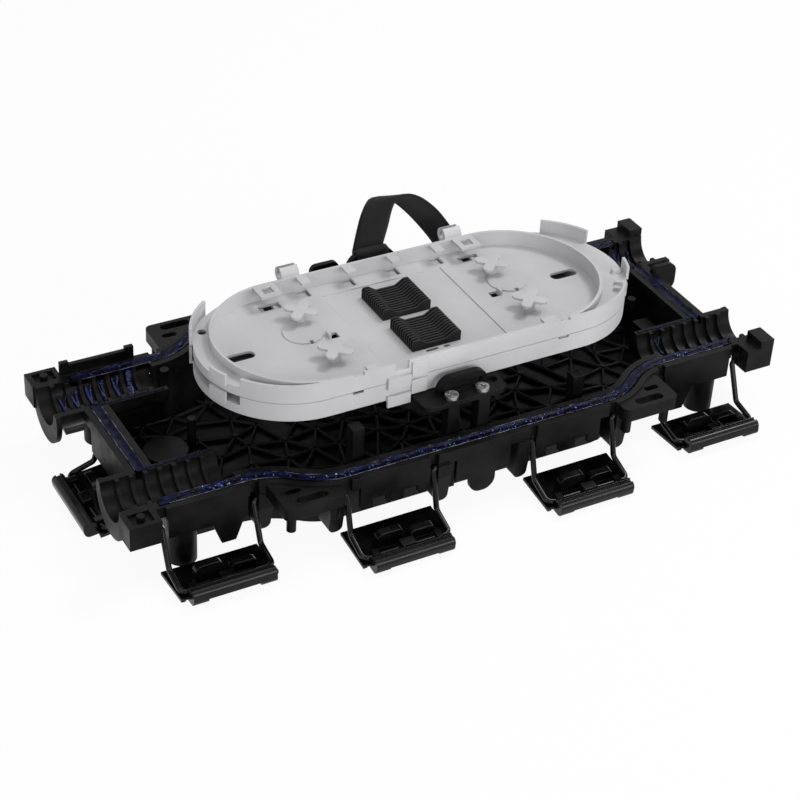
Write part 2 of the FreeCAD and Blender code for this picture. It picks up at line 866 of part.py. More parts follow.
# Small clips that stand on the right-hand shelf
def shelf_clips():
    clips = []
    reach = tray_radius - tray_wall - shelf_clip_length / 2
    for angle in shelf_clip_angles:
        clip = box(reach - shelf_clip_length / 2, reach + shelf_clip_length / 2, -shelf_clip_width / 2,
                   shelf_clip_width / 2, shelf_top, shelf_top + shelf_clip_rise)
        clip.rotate(Vec(0, 0, 0), Vec(0, 0, 1), angle)
        clip.translate(Vec(tray_half_straight, 0, 0))
        clips.append(clip)
    return clips


# Hooks along the top of the back wall, and pins at its foot for the tray below
def tray_hinges():
    axis_y = tray_radius + hinge_reach
    shapes = []
    for side in (-1, 1):
        x = side * hinge_x
        x0 = x - hook_width / 2
        x1 = x + hook_width / 2
        ring = rod(hook_outer_radius, x0, x1, axis_y, tray_pitch)
        neck = box(x0, x1, tray_radius - tray_wall, axis_y, tray_pitch - hook_outer_radius, tray_height)
        bore = rod(hinge_pin_radius + hinge_clearance, x0, x1, axis_y, tray_pitch)
        mouth = box(x0, x1, -hook_mouth_half, hook_mouth_half, 0, 2 * hook_outer_radius)
        mouth.rotate(Vec(0, 0, 0), Vec(1, 0, 0), hook_mouth - 90)
        mouth.translate(Vec(0, axis_y, tray_pitch))
        shapes.append(fused([ring, neck]).cut(bore).cut(mouth))
        reach = hook_width / 2 + arm_gap + arm_thickness
        shapes.append(rod(hinge_pin_radius, x - reach, x + reach, axis_y, 0))
        for arm_side in (-1, 1):
            a0, a1 = port_span(arm_side, hook_width / 2 + arm_gap, reach)
            arm_top = 2 * hinge_pin_radius
            shapes.append(box(x + a0, x + a1, tray_radius - tray_wall, axis_y, 0, arm_top))
            shapes.append(rod(arm_radius, x + a0, x + a1, axis_y, 0))
    return shapes


# Tabs along the walls that hold the fibres down, those at the back over holes in the floor
def tray_fingers():
    tabs = []
    holes = []
    back = tray_radius - tray_wall
    tab_bottom = tray_height - finger_thickness
    for index in range(finger_count):
        x = finger_middle + (index - (finger_count - 1) / 2) * finger_pitch
        tabs.append(box(x - finger_width / 2, x + finger_width / 2, back - finger_length,
                        back + tray_wall / 2, tab_bottom, tray_height))
        holes.append(box(x - finger_hole / 2, x + finger_hole / 2, back - finger_length, back,
                         0, tray_floor))
    for x in wide_fingers:
        half = wide_finger_width / 2
        slot = wide_finger_slot / 2
        tip = back - wide_finger_length
        tab = box(x - half, x + half, tip, back + tray_wall / 2, tab_bottom, tray_height)
        window = box(x - slot, x + slot, tip + slot, tip + 3 * slot, tab_bottom, tray_height)
        tabs.append(tab.cut(window))
        holes.append(box(x - half, x + half, tip, tip + wide_finger_slot, 0, tray_floor))
    for x, width, length in front_fingers:
        tabs.append(box(x - width / 2, x + width / 2, -back - tray_wall / 2, length - back,
                        tab_bottom, tray_height))
    return tabs, holes


def tray_star(x, y):
    arms = []
    for turn in (45, 135):
        arm = long_hole(0, 0, star_length, star_arm_width, star_top - star_thickness, star_top)
        arm.rotate(Vec(0, 0, 0), Vec(0, 0, 1), turn)
        arms.append(arm)
    star = fused(arms + [upright(star_post_radius, 0, 0, tray_floor, star_top)])
    star.translate(Vec(x, y, 0))
    return star


# Holes in the floor of a tray, and the sunk panel that the splice holders stand in
def tray_floor_cuts():
    back = tray_radius - tray_wall
    cuts = [box(recess_left, recess_right, recess_front_gap - back, back - recess_back_gap,
                tray_floor - recess_depth, tray_floor)]
    for side, guide in ((-1, left_guide_x), (1, right_guide_x)):
        slot_x = guide + side * (back - floor_slot_gap - floor_slot_length / 2)
        cuts.append(long_hole(slot_x, floor_slot_y, floor_slot_length, floor_slot_width, 0, tray_floor))
        half = square_hole / 2
        cuts.append(box(side * square_hole_x - half, side * square_hole_x + half, -half, half, 0, tray_floor))
        cuts.append(upright(disc_hole_radius, side * disc_x, disc_y - disc_hole_drop,
                            0, tray_floor + disc_height))
    for x, length in small_slots:
        cuts.append(box(x - length / 2, x + length / 2, small_slot_y - small_slot_width / 2,
                        small_slot_y + small_slot_width / 2, 0, tray_floor))
    hole_x = (left_guide_x - tray_half_straight) / 2 - math.sqrt(tray_radius ** 2 - shelf_hole_y ** 2)
    cuts.append(upright(shelf_hole_radius, hole_x, shelf_hole_y, shelf_top - shelf_thickness, shelf_top))
    return cuts


# The snap and catch on the front wall
def tray_snap():
    front = -tray_radius
    face = front - snap_clearance
    x0 = snap_x - snap_width / 2
    x1 = snap_x + snap_width / 2
    catch_x = x1 + catch_side_gap
    return [
        box(x0, x1, face - snap_thickness, face, -snap_drop, snap_root),
        box(x0, x1, face, front + tray_wall, 0, snap_root),
        box(catch_x, catch_x + catch_width, front - catch_thickness, front + tray_wall,
            catch_foot, tray_height - catch_gap),
    ]


def tray():
    body = tray_cup()
    added = tray_hinges() + tray_edge_fins() + shelf_clips() + tray_snap()
    tabs, cuts = tray_fingers()
    added += tabs
    cuts += tray_floor_cuts()
    for side in (-1, 1):
        added += [tray_star(side * star_x, star_side * star_y) for star_side in (-1, 1)]
        added.append(upright(disc_radius, side * disc_x, disc_y, tray_floor, tray_floor + disc_height))
        stop = square_hole_x + square_hole / 2
        x0, x1 = port_span(side, stop, stop + square_hole_stop)
        added.append(box(x0, x1, -square_hole / 2, square_hole / 2, tray_floor, tray_floor + square_hole / 2))
    for x, width, depth in front_notches:
        cuts.append(box(x - width / 2, x + width / 2, -tray_radius, tray_wall - tray_radius,
                        tray_height - depth, tray_height))
    body = body.multiFuse(added)
    for cut in cuts:
        body = body.cut(cut)
    return body.removeSplitter()


# A comb of saddle-shaped ridges that grips the splice sleeves
def splice_holder(y, tray_z):
    seat = tray_z + tray_floor - recess_depth
    x0 = comb_x - comb_length / 2
    x1 = comb_x + comb_length / 2
    shapes = [box(x0, x1, y - comb_width / 2, y + comb_width / 2, seat, seat + comb_base)]
    pitch = (comb_width - comb_ridge_thickness) / (comb_ridges - 1)
    for index in range(comb_ridges):
        ridge_y = y - comb_width / 2 + index * pitch
        top = seat + comb_end_height
        saddle = seat + comb_saddle_height
        foot = comb_lobe + comb_slope
        profile = [(x0, seat), (x1, seat), (x1, top), (x1 - comb_lobe, top), (x1 - foot, saddle),
                   (x0 + foot, saddle), (x0 + comb_lobe, top), (x0, top)]
        points = [Vec(x, ridge_y, z) for x, z in profile]
        radii = [0, 0, comb_corner] + [comb_bend] * 4 + [comb_corner]
        shapes.append(plate(points, radii, Vec(0, comb_ridge_thickness, 0)))
    return fused(shapes)


# A bracket's upright strap loop, drawn across the width at one side
def strap_loop(side_y, loop_x):
    y = side_y * loop_y - loop_thickness / 2
    half = loop_width / 2
    loop_height, slot_height = front_loop_height, front_slot_height
    if side_y > 0:
        loop_height, slot_height = rear_loop_height, rear_slot_height
    top = bracket_z + loop_height
    frame = [(loop_x - half, bracket_z), (loop_x + half, bracket_z),
             (loop_x + half, top), (loop_x - half, top)]
    points = [Vec(x, y, z) for x, z in frame]
    loop = plate(points, [0, 0, loop_corner, loop_corner], Vec(0, loop_thickness, 0))
    half = loop_slot_width / 2
    slot_top = top - loop_bar
    slot_bottom = slot_top - slot_height
    hole = [(loop_x - half, slot_bottom), (loop_x + half, slot_bottom),
            (loop_x + half, slot_top), (loop_x - half, slot_top)]
    points = [Vec(x, y, z) for x, z in hole]
    return loop.cut(plate(points, [loop_slot_corner] * 4, Vec(0, loop_thickness, 0)))


def tray_bracket(side_y):
    inner, loop_x = (bracket_front_inner, front_loop_x) if side_y < 0 else (bracket_rear_inner, rear_loop_x)
    plan = [(bracket_left, side_y * inner), (bracket_right, side_y * inner),
            (bracket_right, side_y * bracket_outer), (bracket_left, side_y * bracket_outer)]
    shapes = [flat_plate(plan, bracket_corner, bracket_z, lower_tray_z), strap_loop(side_y, loop_x)]
    if side_y > 0:
        x1 = bracket_left + ear_plate_length
        top = lower_tray_z + ear_plate_height
        face = [(bracket_left, bracket_z), (x1, bracket_z), (x1, top), (bracket_left, top)]
        points = [Vec(x, ear_plate_y - ear_plate_thickness / 2, z) for x, z in face]
        shapes.append(plate(points, [0, 0, ear_plate_corner, ear_plate_corner],
                            Vec(0, ear_plate_thickness, 0)))
    body = fused(shapes)
    for x, y in screw_places():
        body = body.cut(upright(screw_radius + screw_clearance, x, y, bracket_z, lower_tray_z))
    if side_y < 0:
        body = body.cut(upright(eye_radius, bracket_right - eye_inset, -loop_y, bracket_z, lower_tray_z))
    return body


def bracket_screw(x, y):
    shank = upright(screw_radius, x, y, lower_tray_z - screw_length, lower_tray_z)
    top = lower_tray_z + screw_head_height
    head = upright(screw_head_radius, x, y, lower_tray_z, top)
    screw = fused([shank, head])
    recess = (screw_recess_length, screw_recess_width)
    for length, width in (recess, recess[::-1]):
        screw = screw.cut(box(x - length / 2, x + length / 2, y - width / 2, y + width / 2,
                              top - screw_recess_depth, top))
    return screw


# Strap: a sleeve round the loop's top bar and a twisting band that arches over to the right
def tray_strap():
    bar_top = bracket_z + rear_loop_height
    bar_bottom = bar_top - loop_bar
    x0 = rear_loop_x - strap_width / 2
    x1 = rear_loop_x + strap_width / 2
    half_bar = loop_thickness / 2 + strap_gap
    skin = half_bar + strap_thickness
    sleeve = box(x0, x1, loop_y - skin, loop_y + skin,
                 bar_bottom - strap_gap - strap_thickness, bar_top + strap_gap + strap_thickness)
    sleeve = sleeve.cut(box(x0, x1, loop_y - half_bar, loop_y + half_bar,
                            bar_bottom - strap_gap, bar_top + strap_gap))
    band_y = loop_y + skin - strap_thickness / 2
    edges = [(Vec(x0, band_y, bar_top), Vec(x1, band_y, bar_top))]
    crown = Vec(rear_loop_x, loop_y, bar_top)
    edges += [(crown + Vec(*left), crown + Vec(*right)) for left, right in strap_edges]
    sections = []
    for index, (left, right) in enumerate(edges):
        before = edges[max(index - 1, 0)]
        after = edges[min(index + 1, len(edges) - 1)]
        heading = after[0] + after[1] - before[0] - before[1]
        half_skin = heading.cross(right - left).normalize() * (strap_thickness / 2)
        corners = [right + half_skin, left + half_skin, left - half_skin, right - half_skin]
        sections.append(Part.makePolygon(corners + corners[:1]))
    return fused([sleeve, Part.makeLoft(sections, True, True)])


# Where the lever's axis lies from the bail's pivot, in the front latch's own frame
def lever_axis(hang):
    upper = math.radians(hang)
    lower = math.radians(hang - bail_bend)
    kink = Vec(0, -math.cos(upper), -math.sin(upper)) * bail_upper_leg
    return kink, kink + Vec(0, -math.cos(lower), -math.sin(lower)) * bail_lower_leg


def bail(hang):
    kink, foot = lever_axis(hang)
    half = Vec(bail_half_width, 0, 0)
    pin = Vec(pin_end, 0, 0)
    points = [-pin, -half, kink - half, foot - half, foot + half, kink + half, half, pin]
    bends = [0, pin_bend_radius] + [wire_bend_radius] * 4 + [pin_bend_radius, 0]
    return round_wire(rounded_edges(points, bends, False), wire_radius)


# A lever drawn about the wire that it turns on, plate to the rear and bar in front
def lever_body():
    plate_top = -wire_radius - lever_plate_drop
    plate_bottom = plate_top - lever_plate_thickness
    half = lever_half_width
    skin = box(-half, half, -lever_plate_front, lever_plate_back, plate_bottom, plate_top)
    shapes = [skin]
    foot = plate_bottom - lever_edge_depth
    for side in (-1, 1):
        x0, x1 = port_span(side, half - lever_edge_width, half)
        shapes.append(box(x0, x1, -lever_plate_front, lever_plate_back, foot, plate_top))
    shapes.append(box(-half, half, lever_plate_back - lever_edge_width, lever_plate_back, foot, plate_top))
    bar = [(-bar_back, foot), (-bar_front, foot), (-bar_front, bar_rise), (-bar_back, bar_rise)]
    points = [Vec(-bar_half_width, y, z) for y, z in bar]
    shapes.append(plate(points, [0, bar_corner, bar_corner, bar_corner], Vec(2 * bar_half_width, 0, 0)))
    shapes.append(box(-block_half_width, block_half_width, -bar_back, saddle_back, plate_bottom, block_rise))
    for side in (-1, 1):
        x0, x1 = port_span(side, clip_inner, clip_outer)
        shapes.append(box(x0, x1, -bar_back, saddle_back, plate_bottom, clip_rise))
    for middle, rise in tabs:
        tab = [(middle - tab_width / 2, plate_bottom), (middle + tab_width / 2, plate_bottom),
               (middle + tab_width / 2, rise), (middle - tab_width / 2, rise)]
        points = [Vec(x, tab_front, z) for x, z in tab]
        shapes.append(plate(points, [0, 0, tab_corner, tab_corner], Vec(0, tab_thickness, 0)))
    body = fused(shapes)
    bar_middle = -(bar_back + bar_front) / 2
    body = body.cut(box(-bar_half_width, bar_half_width, bar_middle - bar_groove_width / 2,
                        bar_middle + bar_groove_width / 2, bar_rise - bar_groove_depth, bar_rise))
    body = body.cut(box(-bar_notch_half, bar_notch_half, -bar_front, bar_middle,
                        foot, foot + bar_notch_height))
    return body.cut(rod(wire_bore, -half, half, 0, 0)).removeSplitter()


def lever(hang, tilt):
    body = lever_body()
    body.rotate(Vec(0, 0, 0), Vec(1, 0, 0), -tilt)
    foot = lever_axis(hang)[1]
    body.translate(foot)
    return body


def at_height(shape, z):
    moved = shape.copy()
    moved.translate(Vec(0, tray_y, z))
    return moved


def main():
    nodes = {"base_shell": base_shell(), "sealing_mastic": sealing_mastic()}
    tray_shape = tray()
    nodes["lower_tray"] = at_height(tray_shape, lower_tray_z)
    nodes["upper_tray"] = at_height(tray_shape, upper_tray_z)
    for name, z in (("lower", lower_tray_z), ("upper", upper_tray_z)):
        for place, side in (("front", -1), ("rear", 1)):
            y = tray_y + comb_y + side * comb_spacing / 2
            nodes[f"{name}_{place}_splice_holder"] = splice_holder(y, z)
    nodes["front_tray_bracket"] = tray_bracket(-1)
    nodes["rear_tray_bracket"] = tray_bracket(1)
    nodes["bracket_screws"] = Part.makeCompound([bracket_screw(x, y) for x, y in screw_places()])
    nodes["tray_strap"] = tray_strap()
    for latch in latches():
        nodes[latch["bail"]] = set_latch(bail(latch["hang"]), latch)
        nodes[latch["lever"]] = set_latch(lever(latch["hang"], latch["tilt"]), latch)
    os.makedirs("parts", exist_ok=True)
    for name, shape in nodes.items():
        shape.exportStep(f"parts/{name}.step")


main()
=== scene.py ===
import bpy
import json
import math
import random
from mathutils import Matrix, Vector


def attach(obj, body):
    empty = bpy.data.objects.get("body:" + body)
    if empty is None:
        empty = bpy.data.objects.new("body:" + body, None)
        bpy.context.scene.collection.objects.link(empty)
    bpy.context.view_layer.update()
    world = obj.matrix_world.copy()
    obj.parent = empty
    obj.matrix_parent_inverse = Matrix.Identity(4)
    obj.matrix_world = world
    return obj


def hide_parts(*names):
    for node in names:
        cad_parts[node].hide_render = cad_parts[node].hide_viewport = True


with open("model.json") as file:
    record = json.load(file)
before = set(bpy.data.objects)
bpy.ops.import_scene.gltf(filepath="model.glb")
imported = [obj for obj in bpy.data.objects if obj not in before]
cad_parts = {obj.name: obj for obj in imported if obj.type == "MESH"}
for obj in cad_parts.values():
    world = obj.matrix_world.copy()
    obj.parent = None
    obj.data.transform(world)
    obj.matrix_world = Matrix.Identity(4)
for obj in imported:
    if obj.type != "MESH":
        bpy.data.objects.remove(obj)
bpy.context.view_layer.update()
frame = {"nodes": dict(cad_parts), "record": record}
nodes = frame["nodes"]
scene = bpy.context.scene
print("frame loaded:", len(nodes), "nodes")


def linkObject(name, data):
    obj = bpy.data.objects.new(name, data)
    scene.collection.objects.link(obj)
    return obj


def meshFrom(name, verts, edges, faces):
    mesh = bpy.data.meshes.new(name)
    mesh.from_pydata(verts, edges, faces)
    mesh.update()
    return mesh


def smoothFaces(mesh):
    mesh.polygons.foreach_set("use_smooth", [True] * len(mesh.polygons))
    mesh.update()


# links a node's output to the socket, or sets a plain value or colour there
def feed(tree, socket, value):
    if isinstance(value, bpy.types.NodeSocket):
        tree.links.new(value, socket)
    elif isinstance(value, tuple):
        socket.default_value = value + (1,)
    else:
        socket.default_value = value


def mathNode(tree, operation, first, second):
    node = tree.nodes.new("ShaderNodeMath")
    node.operation = operation
    feed(tree, node.inputs[0], first)
    feed(tree, node.inputs[1], second)
    return node.outputs[0]


def noiseNode(tree, vector, scale, detail):
    node = tree.nodes.new("ShaderNodeTexNoise")
    for key, value in (("Vector", vector), ("Scale", scale), ("Detail", detail)):
        feed(tree, node.inputs[key], value)
    return node.outputs["Fac"]


# spreads the values between fromMin and fromMax over toMin to toMax
def rangeNode(tree, value, fromMin, fromMax, toMin=0.0, toMax=1.0):
    node = tree.nodes.new("ShaderNodeMapRange")
    limits = {"Value": value, "From Min": fromMin, "From Max": fromMax, "To Min": toMin, "To Max": toMax}
    for key, limit in limits.items():
        feed(tree, node.inputs[key], limit)
    return node.outputs["Result"]


def mixNode(tree, share, first, second):
    node = tree.nodes.new("ShaderNodeMix")
    node.data_type = "RGBA"
    for key, value in (("Factor", share), ("A", first), ("B", second)):
        feed(tree, node.inputs[key], value)
    return node.outputs["Result"]


# camera: angles in degrees, lengths in metres, read from the photograph's perspective
cameraView = {"azimuth": -30.508, "elevation": 35.698, "roll": 3.319, "distance": 1.20058,
              "lens": 93.243, "shiftX": -0.00564, "shiftY": 0.02537}


def placeCamera(view):
    az, el, roll = (math.radians(view[key]) for key in ("azimuth", "elevation", "roll"))
    back = Vector((math.sin(az) * math.cos(el), -math.cos(az) * math.cos(el), math.sin(el)))
    level = Vector((math.cos(az), math.sin(az), 0))
    upright = back.cross(level)
    right = level * math.cos(roll) + upright * math.sin(roll)
    up = upright * math.cos(roll) - level * math.sin(roll)
    data = bpy.data.cameras.new("photoCamera")
    data.lens = view["lens"]
    data.sensor_width = 36
    data.shift_x = view["shiftX"]
    data.shift_y = view["shiftY"]
    data.clip_end = 100
    camera = linkObject("photoCamera", data)
    turn = Matrix((right, up, back)).transposed().to_4x4()
    camera.matrix_world = Matrix.Translation(back * view["distance"]) @ turn
    scene.camera = camera


placeCamera(cameraView)

# key from the right, a wide low fill in front, weak light from above and from the left
studioLights = [
    {"name": "keyPanel", "place": (0.85, 0.1, 1.3), "aim": (0, 0, 0.06), "size": (0.45, 0.45), "watts": 9},
    {"name": "frontPanel", "place": (0.4, -1.6, 0.5), "aim": (0, 0, 0.05), "size": (1.5, 0.6), "watts": 16},
    {"name": "topPanel", "place": (0.0, -0.1, 1.5), "aim": (0, 0, 0.05), "size": (1.4, 1.0), "watts": 4.2},
    {"name": "leftPanel", "place": (-1.4, -0.8, 0.8), "aim": (0, 0, 0.05), "size": (0.6, 0.6), "watts": 5.2},
]


def placeLights(rows):
    for row in rows:
        data = bpy.data.lights.new(row["name"], "AREA")
        data.shape = "RECTANGLE"
        data.size, data.size_y = row["size"]
        data.energy = row["watts"]
        lamp = linkObject(row["name"], data)
        place = Vector(row["place"])
        lamp.matrix_world = Matrix.Translation(place) @ (
            (Vector(row["aim"]) - place).to_track_quat("-Z", "Y").to_matrix().to_4x4())


placeLights(studioLights)


# true for rays that should meet the plain white background
def seenRay(tree):
    rays = tree.nodes.new("ShaderNodeLightPath").outputs
    seen = mathNode(tree, "MAXIMUM", rays["Is Camera Ray"], rays["Is Glossy Ray"])
    return mathNode(tree, "MAXIMUM", seen, rays["Is Transmission Ray"])


stageLook = {"worldLight": 0.33, "floorSize": 60.0, "floorColour": 0.9, "floorGlow": 0.93}


def buildStage(look):
    world = bpy.data.worlds.new("studio")
    scene.world = world
    world.use_nodes = True
    tree = world.node_tree
    background = tree.nodes["Background"]
    background.inputs["Color"].default_value = (1, 1, 1, 1)
    strength = rangeNode(tree, seenRay(tree), 0.0, 1.0, look["worldLight"], 1.0)
    tree.links.new(strength, background.inputs["Strength"])
    half = look["floorSize"] / 2
    corners = [(-half, -half, 0), (half, -half, 0), (half, half, 0), (-half, half, 0)]
    floor = linkObject("floor", meshFrom("floor", corners, [], [(0, 1, 2, 3)]))
    paper = bpy.data.materials.new("paperFloor")
    paper.use_nodes = True
    tree = paper.node_tree
    tree.nodes.clear()
    matt = tree.nodes.new("ShaderNodeBsdfDiffuse")
    glow = tree.nodes.new("ShaderNodeEmission")
    mix = tree.nodes.new("ShaderNodeMixShader")
    out = tree.nodes.new("ShaderNodeOutputMaterial")
    matt.inputs["Color"].default_value = (look["floorColour"],) * 3 + (1,)
    tree.links.new(mathNode(tree, "MULTIPLY", seenRay(tree), look["floorGlow"]), mix.inputs["Fac"])
    tree.links.new(matt.outputs[0], mix.inputs[1])
    tree.links.new(glow.outputs[0], mix.inputs[2])
    tree.links.new(mix.outputs[0], out.inputs["Surface"])
    floor.data.materials.append(paper)


buildStage(stageLook)
scene.view_settings.view_transform = "Standard"
print("camera, lights and floor placed")


# a shader group with named sockets: rows of (name, kind, default)
def shaderGroup(name, inputs, outputs):
    group = bpy.data.node_groups.new(name, "ShaderNodeTree")
    for title, kind, value in inputs:
        socket = group.interface.new_socket(title, in_out="INPUT", socket_type="NodeSocket" + kind)
        if value is not None:
            socket.default_value = value
    for title, kind in outputs:
        group.interface.new_socket(title, in_out="OUTPUT", socket_type="NodeSocket" + kind)
    return group, group.nodes.new("NodeGroupInput").outputs, group.nodes.new("NodeGroupOutput").inputs


# moulded plastic: fine spark-eroded grain and slow mottling
def buildGrainGroup():
    group, given, result = shaderGroup(
        "mouldedGrain",
        [("Vector", "Vector", None), ("Dark", "Color", (0.01, 0.01, 0.01, 1)),
         ("Light", "Color", (0.03, 0.03, 0.03, 1)), ("Mottle Scale", "Float", 60.0),
         ("Grain Scale", "Float", 2500.0), ("Smooth", "Float", 0.4), ("Rough", "Float", 0.6)],
        [("Color", "Color"), ("Roughness", "Float"), ("Height", "Float")])
    slow = noiseNode(group, given["Vector"], given["Mottle Scale"], 5.0)
    fine = noiseNode(group, given["Vector"], given["Grain Scale"], 2.0)
    mottle = rangeNode(group, slow, 0.36, 0.66)
    height = mathNode(group, "ADD", mathNode(group, "MULTIPLY", slow, 0.5), mathNode(group, "MULTIPLY", fine, 0.5))
    feed(group, result["Color"], mixNode(group, mottle, given["Dark"], given["Light"]))
    feed(group, result["Roughness"], rangeNode(group, mottle, 0.0, 1.0, given["Smooth"], given["Rough"]))
    feed(group, result["Height"], height)
    return group


# dust and rubbed patches: lifts the colour a little where a coarse noise peaks
def buildDustGroup():
    group, given, result = shaderGroup(
        "settledDust",
        [("Vector", "Vector", None), ("Color", "Color", (0, 0, 0, 1)), ("Dust", "Color", (0.2, 0.2, 0.2, 1)),
         ("Amount", "Float", 0.1), ("Scale", "Float", 25.0)],
        [("Color", "Color")])
    patch = noiseNode(group, given["Vector"], given["Scale"], 8.0)
    share = mathNode(group, "MULTIPLY", rangeNode(group, patch, 0.5, 0.75), given["Amount"])
    feed(group, result["Color"], mixNode(group, share, given["Color"], given["Dust"]))
    return group


grainGroup = buildGrainGroup()
dustGroup = buildDustGroup()


def newMaterial(name):
    material = bpy.data.materials.new(name)
    material.use_nodes = True
    tree = material.node_tree
    coords = tree.nodes.new("ShaderNodeTexCoord").outputs["Object"]
    return material, tree, tree.nodes["Principled BSDF"], coords


def placeGroup(tree, group, values):
    node = tree.nodes.new("ShaderNodeGroup")
    node.node_tree = group
    for key, value in values.items():
        feed(tree, node.inputs[key], value)
    return node.outputs


def placeGrain(tree, coords, look):
    return placeGroup(tree, grainGroup, {"Vector": coords, "Dark": look["dark"], "Light": look["light"],
                                         "Mottle Scale": look["mottle"], "Grain Scale": look["grain"],
                                         "Smooth": look["smooth"], "Rough": look["rough"]})


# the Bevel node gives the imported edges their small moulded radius
def finishNormal(tree, shader, height, distance, strength, edge):
    bump = tree.nodes.new("ShaderNodeBump")
    bump.inputs["Strength"].default_value = strength
    bump.inputs["Distance"].default_value = distance
    tree.links.new(height, bump.inputs["Height"])
    if edge:
        bevel = tree.nodes.new("ShaderNodeBevel")
        bevel.samples = 4
        bevel.inputs["Radius"].default_value = edge
        tree.links.new(bevel.outputs["Normal"], bump.inputs["Normal"])
    tree.links.new(bump.outputs["Normal"], shader.inputs["Normal"])


def mouldedPlastic(name, look):
    material, tree, shader, coords = newMaterial(name)
    grain = placeGrain(tree, coords, look)
    dust = placeGroup(tree, dustGroup, {"Vector": coords, "Color": grain["Color"], "Dust": look["dust"],
                                        "Amount": look["dustAmount"], "Scale": look["dustScale"]})
    tree.links.new(dust["Color"], shader.inputs["Base Color"])
    tree.links.new(grain["Roughness"], shader.inputs["Roughness"])
    shader.inputs["Specular IOR Level"].default_value = look["gloss"]
    finishNormal(tree, shader, grain["Height"], distance=look["depth"], strength=0.5, edge=look["edge"])
    return material


plasticLooks = {
    "shellPlastic": {"dark": (0.0022, 0.0022, 0.0025), "light": (0.0068, 0.0068, 0.0075), "mottle": 70.0,
                     "grain": 1800.0, "smooth": 0.3, "rough": 0.5, "gloss": 0.09, "depth": 0.00018,
                     "edge": 0.0007, "dust": (0.03, 0.03, 0.032), "dustAmount": 0.16, "dustScale": 45.0},
    # the floor web: the shell's black plastic painted lighter, so its ribs and bosses carry painted light
    "paintedLitWebPlastic": {"dark": (0.0045, 0.0045, 0.0047), "light": (0.009, 0.009, 0.0095), "mottle": 70.0,
                   "grain": 1800.0, "smooth": 0.36, "rough": 0.58, "gloss": 0.12, "depth": 0.0003,
                   "edge": 0.0003, "dust": (0.03, 0.03, 0.032), "dustAmount": 0.16, "dustScale": 45.0},
    "leverPlastic": {"dark": (0.0016, 0.0016, 0.0018), "light": (0.0045, 0.0045, 0.005), "mottle": 90.0,
                     "grain": 2200.0, "smooth": 0.14, "rough": 0.24, "gloss": 0.2, "depth": 0.00004,
                     "edge": 0.0008, "dust": (0.03, 0.03, 0.03), "dustAmount": 0.08, "dustScale": 60.0},
    "trayPlastic": {"dark": (0.475, 0.475, 0.486), "light": (0.55, 0.55, 0.562), "mottle": 22.0,
                    "grain": 1500.0, "smooth": 0.42, "rough": 0.5, "gloss": 0.4, "depth": 0.0002,
                    "edge": 0.0003, "dust": (0.42, 0.42, 0.42), "dustAmount": 0.15, "dustScale": 30.0},
    "holderPlastic": {"dark": (0.006, 0.006, 0.0064), "light": (0.014, 0.014, 0.0148), "mottle": 120.0,
                      "grain": 2600.0, "smooth": 0.5, "rough": 0.65, "gloss": 0.25, "depth": 0.0002,
                      "edge": 0.0002, "dust": (0.05, 0.05, 0.05), "dustAmount": 0.12, "dustScale": 80.0},
}
plastics = {name: mouldedPlastic(name, look) for name, look in plasticLooks.items()}


def metalFinish(name, look):
    material, tree, shader, coords = newMaterial(name)
    grain = placeGrain(tree, coords, look)
    tree.links.new(grain["Color"], shader.inputs["Base Color"])
    tree.links.new(grain["Roughness"], shader.inputs["Roughness"])
    shader.inputs["Metallic"].default_value = look["metal"]
    shader.inputs["Specular IOR Level"].default_value = look["gloss"]
    finishNormal(tree, shader, grain["Height"], distance=look["depth"], strength=0.4, edge=look["edge"])
    return material


metalLooks = {
    "blackWire": {"dark": (0.0018, 0.0018, 0.002), "light": (0.0045, 0.0045, 0.0048), "mottle": 250.0,
                  "grain": 3000.0, "smooth": 0.12, "rough": 0.2, "metal": 0.0, "gloss": 0.2,
                  "depth": 0.00004, "edge": 0.0},
    "screwSteel": {"dark": (0.28, 0.285, 0.28), "light": (0.46, 0.465, 0.46), "mottle": 300.0,
                   "grain": 4000.0, "smooth": 0.28, "rough": 0.48, "metal": 1.0, "gloss": 0.5,
                   "depth": 0.0001, "edge": 0.0002},
}
metals = {name: metalFinish(name, look) for name, look in metalLooks.items()}

# tacky mastic with blue specks: blue-black in the groove, brighter in the ports, glossy and wet along the edges with
# pale specks there as painted glints, pale in crumbs
masticLooks = {
    "groove": {"dark": (0.0012, 0.0014, 0.0045), "blue": (0.004, 0.007, 0.05), "speck": (0.1, 0.16, 0.5),
               "veinScale": 260.0, "speckScale": 1300.0, "speckFrom": 0.7,
               "smooth": 0.14, "rough": 0.4, "gloss": 0.05},
    "port": {"dark": (0.002, 0.003, 0.014), "blue": (0.012, 0.022, 0.13), "speck": (0.12, 0.2, 0.6),
             "veinScale": 220.0, "speckScale": 1100.0, "speckFrom": 0.64,
             "smooth": 0.16, "rough": 0.45, "gloss": 0.2},
    # the wet threads' pale specks are painted glints on the glossy mastic
    "wetPaintedGlint": {"dark": (0.004, 0.005, 0.014), "blue": (0.016, 0.02, 0.05), "speck": (0.16, 0.18, 0.24),
            "veinScale": 180.0, "speckScale": 420.0, "speckFrom": 0.6,
            "smooth": 0.06, "rough": 0.2, "gloss": 0.6},
    "crumb": {"dark": (0.012, 0.022, 0.12), "blue": (0.04, 0.07, 0.3), "speck": (0.4, 0.5, 0.8),
              "veinScale": 400.0, "speckScale": 900.0, "speckFrom": 0.6,
              "smooth": 0.2, "rough": 0.5, "gloss": 0.3},
}


